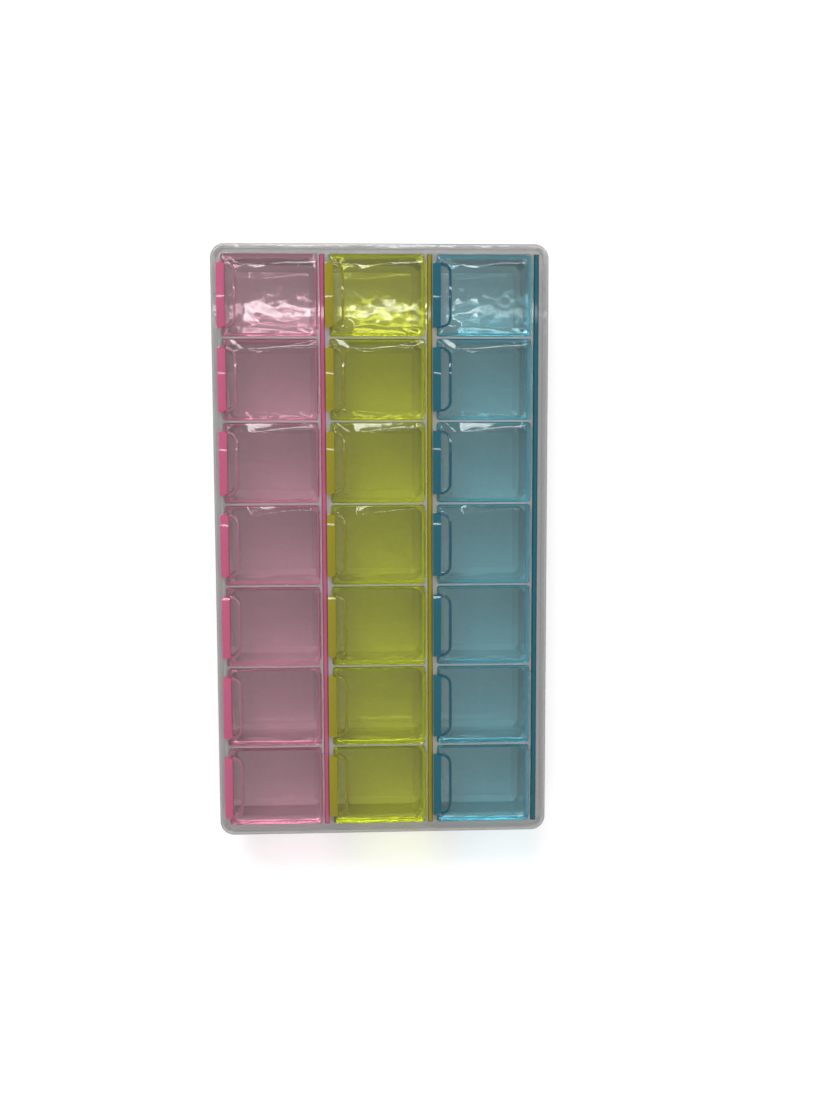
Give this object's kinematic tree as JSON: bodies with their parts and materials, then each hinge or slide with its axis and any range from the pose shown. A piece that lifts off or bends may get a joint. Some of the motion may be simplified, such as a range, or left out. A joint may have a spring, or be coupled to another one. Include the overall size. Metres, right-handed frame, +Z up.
{
  "type": "weekly pill organizer",
  "caption": "Flat clear tray of small pill wells, covered by pink, yellow and blue strips of transparent hinged lids with arched finger tabs.",
  "frame": {"origin": "middle of the tray's footprint, on the surface it stands on", "axes": "+X across the columns from the pink to the blue strip, +Y along the columns to the far end, +Z up out of the wells"},
  "size_m": [0.0976, 0.174, 0.0197],
  "materials": {
    "tray_clear": "frosted clear, lightly textured inside the wells",
    "lid_pink": "glossy transparent pink",
    "lid_yellow": "glossy transparent yellow",
    "lid_blue": "glossy transparent blue"
  },
  "bodies": {
    "base": {"base_tray": "tray_clear", "hinge_strip_pink": "lid_pink", "hinge_strip_yellow": "lid_yellow", "hinge_strip_blue": "lid_blue"},
    "lid_pink_1": {"lid_pink_1": "lid_pink"},
    "lid_pink_2": {"lid_pink_2": "lid_pink"},
    "lid_pink_3": {"lid_pink_3": "lid_pink"},
    "lid_pink_4": {"lid_pink_4": "lid_pink"},
    "lid_pink_5": {"lid_pink_5": "lid_pink"},
    "lid_pink_6": {"lid_pink_6": "lid_pink"},
    "lid_pink_7": {"lid_pink_7": "lid_pink"},
    "lid_yellow_1": {"lid_yellow_1": "lid_yellow"},
    "lid_yellow_2": {"lid_yellow_2": "lid_yellow"},
    "lid_yellow_3": {"lid_yellow_3": "lid_yellow"},
    "lid_yellow_4": {"lid_yellow_4": "lid_yellow"},
    "lid_yellow_5": {"lid_yellow_5": "lid_yellow"},
    "lid_yellow_6": {"lid_yellow_6": "lid_yellow"},
    "lid_yellow_7": {"lid_yellow_7": "lid_yellow"},
    "lid_blue_1": {"lid_blue_1": "lid_blue"},
    "lid_blue_2": {"lid_blue_2": "lid_blue"},
    "lid_blue_3": {"lid_blue_3": "lid_blue"},
    "lid_blue_4": {"lid_blue_4": "lid_blue"},
    "lid_blue_5": {"lid_blue_5": "lid_blue"},
    "lid_blue_6": {"lid_blue_6": "lid_blue"},
    "lid_blue_7": {"lid_blue_7": "lid_blue"}
  },
  "joints": [
    {"name": "lid_pink_1_hinge", "type": "hinge", "parent": "base", "child": "lid_pink_1", "pos_m": [-0.0183, 0.07224, 0.0177], "axis": [0, 1, 0], "range_deg": [0, 105]},
    {"name": "lid_pink_2_hinge", "type": "hinge", "parent": "base", "child": "lid_pink_2", "pos_m": [-0.0183, 0.04816, 0.0177], "axis": [0, 1, 0], "range_deg": [0, 105]},
    {"name": "lid_pink_3_hinge", "type": "hinge", "parent": "base", "child": "lid_pink_3", "pos_m": [-0.0183, 0.02408, 0.0177], "axis": [0, 1, 0], "range_deg": [0, 105]},
    {"name": "lid_pink_4_hinge", "type": "hinge", "parent": "base", "child": "lid_pink_4", "pos_m": [-0.0183, 0, 0.0177], "axis": [0, 1, 0], "range_deg": [0, 105]},
    {"name": "lid_pink_5_hinge", "type": "hinge", "parent": "base", "child": "lid_pink_5", "pos_m": [-0.0183, -0.02408, 0.0177], "axis": [0, 1, 0], "range_deg": [0, 105]},
    {"name": "lid_pink_6_hinge", "type": "hinge", "parent": "base", "child": "lid_pink_6", "pos_m": [-0.0183, -0.04816, 0.0177], "axis": [0, 1, 0], "range_deg": [0, 105]},
    {"name": "lid_pink_7_hinge", "type": "hinge", "parent": "base", "child": "lid_pink_7", "pos_m": [-0.0183, -0.07224, 0.0177], "axis": [0, 1, 0], "range_deg": [0, 105]},
    {"name": "lid_yellow_1_hinge", "type": "hinge", "parent": "base", "child": "lid_yellow_1", "pos_m": [0.0127, 0.07224, 0.0177], "axis": [0, 1, 0], "range_deg": [0, 105]},
    {"name": "lid_yellow_2_hinge", "type": "hinge", "parent": "base", "child": "lid_yellow_2", "pos_m": [0.0127, 0.04816, 0.0177], "axis": [0, 1, 0], "range_deg": [0, 105]},
    {"name": "lid_yellow_3_hinge", "type": "hinge", "parent": "base", "child": "lid_yellow_3", "pos_m": [0.0127, 0.02408, 0.0177], "axis": [0, 1, 0], "range_deg": [0, 105]},
    {"name": "lid_yellow_4_hinge", "type": "hinge", "parent": "base", "child": "lid_yellow_4", "pos_m": [0.0127, 0, 0.0177], "axis": [0, 1, 0], "range_deg": [0, 105]},
    {"name": "lid_yellow_5_hinge", "type": "hinge", "parent": "base", "child": "lid_yellow_5", "pos_m": [0.0127, -0.02408, 0.0177], "axis": [0, 1, 0], "range_deg": [0, 105]},
    {"name": "lid_yellow_6_hinge", "type": "hinge", "parent": "base", "child": "lid_yellow_6", "pos_m": [0.0127, -0.04816, 0.0177], "axis": [0, 1, 0], "range_deg": [0, 105]},
    {"name": "lid_yellow_7_hinge", "type": "hinge", "parent": "base", "child": "lid_yellow_7", "pos_m": [0.0127, -0.07224, 0.0177], "axis": [0, 1, 0], "range_deg": [0, 105]},
    {"name": "lid_blue_1_hinge", "type": "hinge", "parent": "base", "child": "lid_blue_1", "pos_m": [0.0437, 0.07224, 0.0177], "axis": [0, 1, 0], "range_deg": [0, 105]},
    {"name": "lid_blue_2_hinge", "type": "hinge", "parent": "base", "child": "lid_blue_2", "pos_m": [0.0437, 0.04816, 0.0177], "axis": [0, 1, 0], "range_deg": [0, 105]},
    {"name": "lid_blue_3_hinge", "type": "hinge", "parent": "base", "child": "lid_blue_3", "pos_m": [0.0437, 0.02408, 0.0177], "axis": [0, 1, 0], "range_deg": [0, 105]},
    {"name": "lid_blue_4_hinge", "type": "hinge", "parent": "base", "child": "lid_blue_4", "pos_m": [0.0437, 0, 0.0177], "axis": [0, 1, 0], "range_deg": [0, 105]},
    {"name": "lid_blue_5_hinge", "type": "hinge", "parent": "base", "child": "lid_blue_5", "pos_m": [0.0437, -0.02408, 0.0177], "axis": [0, 1, 0], "range_deg": [0, 105]},
    {"name": "lid_blue_6_hinge", "type": "hinge", "parent": "base", "child": "lid_blue_6", "pos_m": [0.0437, -0.04816, 0.0177], "axis": [0, 1, 0], "range_deg": [0, 105]},
    {"name": "lid_blue_7_hinge", "type": "hinge", "parent": "base", "child": "lid_blue_7", "pos_m": [0.0437, -0.07224, 0.0177], "axis": [0, 1, 0], "range_deg": [0, 105]}
  ]
}
